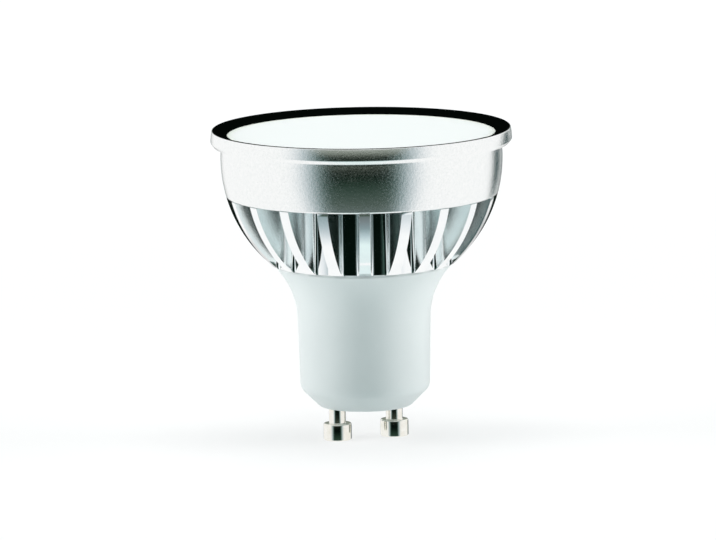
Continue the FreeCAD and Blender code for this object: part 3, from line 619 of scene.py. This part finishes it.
def fin_half(reach):
    """Half the thickness of a fin at a distance along it."""
    if reach > wall_foot.x:
        return wall_foot.y - (reach - wall_foot.x) * math.tan(taper)
    reach = max(reach, floor_end.x)
    return round_middle.y - math.sqrt(FIN_ROUND ** 2 - (reach - round_middle.x) ** 2)


def fin_stations(level):
    """Distances along a fin at a level: into the core, over the round and out to the ball."""
    end = bowl_reach(level)
    foot = min(wall_foot.x, end - FIN_TIP_LEAST)
    turns = [1 - math.cos(math.radians(turn)) for turn in steps(0, 90, FIN_ROUND_STEPS)]
    return [CORE - FIN_SINK, *[floor_end.x + (foot - floor_end.x) * turn for turn in turns], end]


def one_fin():
    """A fin on +X: its plan is drawn out from the core, then drawn up level by level along the ball."""
    levels = steps(seat, shoulder, FIN_LEVELS)
    places = fin_stations(seat)
    bpy.ops.object.select_all(action="DESELECT")
    bpy.ops.mesh.primitive_plane_add(size=1, location=(0, 0, 0), enter_editmode=True)
    fin = bpy.context.object
    fin.name = "heat_sink_fin"
    resize_about_axis(places[1] - places[0], fin_half(places[0]) * 2)
    bpy.ops.transform.translate(value=((places[0] + places[1]) / 2, 0, seat))
    for place, next_place in zip(places[1:], places[2:]):
        pick(fin, lambda co: co.x > place - FIN_NEAR)
        draw_out(next_place - place, 0, 0)
        resize_about_axis(1, fin_half(next_place) / fin_half(place))
    for level, next_level in zip(levels, levels[1:]):
        pick(fin, lambda co: co.z > level - FIN_NEAR)
        draw_out(0, 0, next_level - level)
        moves = list(zip(fin_stations(level), fin_stations(next_level)))
        for place, next_place in reversed(moves):
            pick(fin, lambda co: co.z > next_level - FIN_NEAR and abs(co.x - place) < FIN_NEAR)
            bpy.ops.transform.translate(value=(next_place - place, 0, 0))
            resize_about_axis(1, fin_half(next_place) / fin_half(place))
    face_outwards()
    bpy.ops.object.mode_set(mode="OBJECT")
    keep_place_in_mesh()
    crisp = fin.modifiers.new("crisp_edges", "BEVEL")
    crisp.width = FIN_CRISP
    crisp.segments = FIN_CRISP_STEPS
    crisp.limit_method = "ANGLE"
    crisp.angle_limit = FIN_CRISP_ANGLE
    bpy.ops.object.modifier_apply(modifier=crisp.name)
    return fin


first_fin = one_fin()
fins = [first_fin]
for number in range(1, FIN_COUNT):
    select_only(first_fin)
    bpy.ops.object.duplicate(linked=False)
    copy = bpy.context.object
    copy.matrix_world = Matrix.Rotation(number * math.tau / FIN_COUNT, 4, "Z")
    keep_place_in_mesh()
    fins.append(copy)
select_only(sink)
for fin in fins:
    fin.select_set(True)
bpy.ops.object.join()
finish_piece(sink, polished, ["heat_sink"])
even = sink.modifiers.new("even_walls", "WEIGHTED_NORMAL")
even.keep_sharp = True
bpy.ops.object.modifier_apply(modifier=even.name)


# Base: bevelled foot, slim neck and flare

def hollow_arc(start, end, radius, count):
    """Places on the arc that bends in from start to end, both as (radius, level)."""
    first = Vector(start)
    last = Vector(end)
    chord = last - first
    across = Vector((chord.y, -chord.x)).normalized()
    centre = (first + last) / 2 + across * math.sqrt(radius ** 2 - (chord.length / 2) ** 2)
    turn = (first - centre).angle_signed(last - centre)
    places = []
    for share in steps(0, 1, count):
        arm = first - centre
        arm.rotate(Matrix.Rotation(-turn * share, 2))
        places.append(tuple(centre + arm))
    return places


flange = CORE - FLANGE_INSET
neck_top = underside + NECK_HEIGHT
bevel_top = underside + BASE_BEVEL
cavity_floor = underside + BASE_FLOOR
neck = [
    (NECK_LOW + (NECK_HIGH - NECK_LOW) * share, bevel_top + (neck_top - bevel_top) * share)
    for share in steps(0, 1, NECK_STEPS)
]
base = turned("white_base", [
    (POLE, underside),
    (BASE_FOOT / 2, underside),
    (BASE_FOOT, underside),
    *neck,
    *hollow_arc((NECK_HIGH, neck_top), (flange, seat - FLANGE_EDGE), FLARE, FLARE_STEPS)[1:],
    (flange, seat),
    (SLEEVE, seat),
    (SLEEVE, sleeve_top),
    (CAVITY, sleeve_top),
    (CAVITY, cavity_floor + CAVITY_BEVEL),
    (CAVITY_FOOT, cavity_floor),
    (POLE, cavity_floor),
], rounds=[
    ([(NECK_LOW, bevel_top)], BASE_BEVEL_ROUND),
    ([(BASE_FOOT, underside)], BASE_FOOT_ROUND),
    ([(flange, seat)], FLANGE_ROUND),
], closed=False)
close_poles(base, [underside, cavity_floor])
finish_piece(base, plastic, ["base_housing"])


# Contact pins: mushroom foot, stem and shank

def contact_pin(name, x):
    foot_shoulder = PIN_FOOT_HEIGHT - PIN_FOOT_EDGE
    bore_floor = pin_high.z - PIN_BORE_DEPTH
    pin = turned(name, [
        (POLE, 0),
        (pin_foot - PIN_FOOT_EDGE, 0),
        (pin_foot, PIN_FOOT_EDGE),
        (pin_foot, foot_shoulder),
        (pin_foot - PIN_FOOT_EDGE, PIN_FOOT_HEIGHT),
        (PIN_STEM, PIN_FOOT_HEIGHT),
        (PIN_STEM, underside),
        (PIN_SHANK, underside),
        (PIN_SHANK, pin_high.z),
        (PIN_BORE, pin_high.z),
        (PIN_BORE, bore_floor),
        (POLE, bore_floor),
    ], rounds=[
        ([(pin_foot, PIN_FOOT_EDGE), (pin_foot, foot_shoulder)], PIN_FOOT_ROUND),
        ([(PIN_STEM, PIN_FOOT_HEIGHT)], PIN_STEM_ROUND),
    ], sides=PIN_SIDES, closed=False)
    close_poles(pin, [0, bore_floor])
    pin.location.x = x
    select_only(pin)
    keep_place_in_mesh()
    return pin


finish_piece(contact_pin("turned_pin_left", -pin_x), nickel, ["contact_pin_left"])
finish_piece(contact_pin("turned_pin_right", pin_x), nickel, ["contact_pin_right"])


# Camera

AZIMUTH = math.radians(-18.9)
ELEVATION = math.radians(8.87)
ROLL = math.radians(-0.97)
DISTANCE = 1.8
LENS = 544.7
SENSOR = 36
VIEW_END = 20
TARGET_ASIDE = -0.901 * MM
TARGET_HEIGHT = 28.19 * MM

scene = bpy.context.scene
towards = Vector((math.sin(AZIMUTH), -math.cos(AZIMUTH), 0))
right = Vector((math.cos(AZIMUTH), math.sin(AZIMUTH), 0))
up = Vector((0, 0, 1))
target = right * TARGET_ASIDE + up * TARGET_HEIGHT

camera_data = bpy.data.cameras.new("camera")
camera_data.lens = LENS
camera_data.sensor_width = SENSOR
camera_data.clip_end = VIEW_END
camera = bpy.data.objects.new("camera", camera_data)
scene.collection.objects.link(camera)
eye = target + (towards * math.cos(ELEVATION) + up * math.sin(ELEVATION)) * DISTANCE
look = (target - eye).to_track_quat("-Z", "Y").to_matrix().to_4x4()
camera.matrix_world = Matrix.Translation(eye) @ look @ Matrix.Rotation(ROLL, 4, "Z")
scene.camera = camera


# Lights

LIGHT_COLOUR = (1, 0.975, 0.968)
LIGHT_AIM = 30 * MM


def soft_light(name, side, height, distance, size, power):
    """A soft box that lights the lamp from a side and a height, both in degrees."""
    light = bpy.data.lights.new(name, "AREA")
    light.shape = "SQUARE"
    light.size = size
    light.energy = power
    light.color = LIGHT_COLOUR
    lamp = bpy.data.objects.new(name, light)
    scene.collection.objects.link(lamp)
    level = towards * math.cos(math.radians(side)) + right * math.sin(math.radians(side))
    place = (level * math.cos(math.radians(height)) + up * math.sin(math.radians(height))) * distance
    aim = (-place).to_track_quat("-Z", "Y").to_matrix().to_4x4()
    lamp.matrix_world = Matrix.Translation(place + up * LIGHT_AIM) @ aim
    lamp.visible_glossy = False


soft_light("left_softbox", side=-86, height=20, distance=0.9, size=0.5, power=5.0)
soft_light("right_softbox", side=86, height=20, distance=0.9, size=0.5, power=5.0)
soft_light("top_softbox", side=0, height=90, distance=1.0, size=0.6, power=5.7)


# Surroundings: a plain fill, white where the camera sees them, and a room that only bright metal mirrors

FILL = (0.06, 0.14, 0.145)
WHITE_WALL = (1.0, 1.0, 1.0)
DARK_WALL = (0.0008, 0.003, 0.002)
DARK_TURN = math.radians(2.5)
SLIM_TURN = math.radians(146)
SLIM_FALL = 0.15
SLIM_WALL = (0.01, 0.05, 0.05)

# Colours by degrees away from the middle of the dark side
WALLS_ROUND = [
    (0, DARK_WALL),
    (25, DARK_WALL),
    (31, (0.07, 0.13, 0.11)),
    (40, (0.4, 0.49, 0.52)),
    (50, (0.84, 0.87, 0.89)),
    (58, WHITE_WALL),
    (155, WHITE_WALL),
    (172, (0.12, 0.16, 0.16)),
]

# Colours by degrees above the horizon
WALLS_UP = [
    (-90, (0.8, 0.9, 0.9)),
    (-69, (0.79, 0.93, 0.92)),
    (-60, (0.48, 0.6, 0.63)),
    (-53, (0.25, 0.33, 0.35)),
    (-46, (0.19, 0.23, 0.24)),
    (-34, (0.08, 0.11, 0.09)),
    (-25, (0.055, 0.085, 0.07)),
    (-15, (0.02, 0.045, 0.03)),
    (-9, DARK_WALL),
    (-5, DARK_WALL),
    (1, (0.03, 0.04, 0.03)),
    (8, (0.23, 0.26, 0.22)),
    (16, (0.36, 0.39, 0.35)),
    (24, (0.44, 0.47, 0.44)),
    (45, WHITE_WALL),
]


def angle_ramp(tree, angle, low, high, stops):
    """Colours along an angle: the stops are in degrees between low and high."""
    share = between(tree, angle, math.radians(low), math.radians(high), smooth=False)
    return ramp(tree, share, [((at - low) / (high - low), colour) for at, colour in stops])


def vector_math(tree, operation, first, second=None):
    node = tree.nodes.new("ShaderNodeVectorMath")
    node.operation = operation
    tree.links.new(first, node.inputs[0])
    if second is not None:
        node.inputs[1].default_value = second
    return node.outputs


def angle_of(tree, operation, number):
    node = tree.nodes.new("ShaderNodeMath")
    node.operation = operation
    tree.links.new(number, node.inputs[0])
    return node.outputs["Value"]


def reflected_room(tree):
    """What bright metal sees: white walls, a soft dark side in front, slim ones behind and behind on the
    right, and a white patch low behind, which the underside of the rim mirrors."""
    heading = tree.nodes.new("ShaderNodeTexCoord").outputs["Generated"]
    level = vector_math(tree, "MULTIPLY", heading, (1, 1, 0))["Vector"]
    level = vector_math(tree, "NORMALIZE", level)["Vector"]
    dark_side = towards * math.cos(DARK_TURN) - right * math.sin(DARK_TURN)
    facing = vector_math(tree, "DOT_PRODUCT", level, tuple(dark_side))["Value"]
    walls = angle_ramp(tree, angle_of(tree, "ARCCOSINE", facing), 0, 180, WALLS_ROUND)

    slim_side = right * math.sin(SLIM_TURN) + towards * math.cos(SLIM_TURN) - up * SLIM_FALL
    slim_facing = vector_math(tree, "DOT_PRODUCT", heading, tuple(slim_side.normalized()))["Value"]
    slim = between(tree, slim_facing, low=0.979, high=0.993)
    walls = blend(tree, slim, walls, SLIM_WALL)

    height = vector_math(tree, "DOT_PRODUCT", heading, (0, 0, 1))["Value"]
    heights = angle_ramp(tree, angle_of(tree, "ARCSINE", height), -90, 90, WALLS_UP)
    room = blend(tree, 1, walls, heights, "LIGHTEN")

    low_behind = tuple((up + towards) * -math.sqrt(0.5))
    glow_facing = vector_math(tree, "DOT_PRODUCT", heading, low_behind)["Value"]
    glow = between(tree, glow_facing, low=0.75, high=0.95)
    return blend(tree, 1, room, glow, "LIGHTEN")


def surroundings():
    world = bpy.data.worlds.new("studio")
    scene.world = world
    world.use_nodes = True
    tree = world.node_tree
    path = tree.nodes.new("ShaderNodeLightPath")
    seen = combine(tree, "MAXIMUM", path.outputs["Is Camera Ray"], path.outputs["Is Transmission Ray"])
    colour = blend(tree, path.outputs["Is Glossy Ray"], FILL, reflected_room(tree))
    colour = blend(tree, seen, colour, WHITE_WALL)
    tree.links.new(colour, tree.nodes["Background"].inputs["Color"])


surroundings()


# Floor: it glows a little towards the camera, so that it runs out into the white behind it

FLOOR_SIZE = 30
FLOOR_LIT = (0.84, 0.89, 0.89)
FLOOR_SEEN = (0.3, 0.3, 0.3)


def pale_floor():
    material, tree, shader = new_material("pale_floor")
    shader.inputs["Roughness"].default_value = 0.9
    shader.inputs["Specular IOR Level"].default_value = 0
    shader.inputs["Emission Color"].default_value = (*WHITE_WALL, 1)
    path = tree.nodes.new("ShaderNodeLightPath")
    tone = blend(tree, path.outputs["Is Camera Ray"], FLOOR_LIT, FLOOR_SEEN)
    tree.links.new(tone, shader.inputs["Base Color"])
    far_share = between(tree, object_distance(tree), low=0.1, high=0.9)
    lift = spread(tree, far_share, low=0.72, high=1.0)
    lift = combine(tree, "MULTIPLY", lift, path.outputs["Is Camera Ray"])
    tree.links.new(lift, shader.inputs["Emission Strength"])
    return material


bpy.ops.object.select_all(action="DESELECT")
bpy.ops.mesh.primitive_plane_add(size=FLOOR_SIZE)
floor = bpy.context.object
floor.name = "floor"
floor.visible_glossy = False
floor.data.materials.append(pale_floor())

scene.view_settings.view_transform = "Standard"
scene.cycles.glossy_bounces = 12
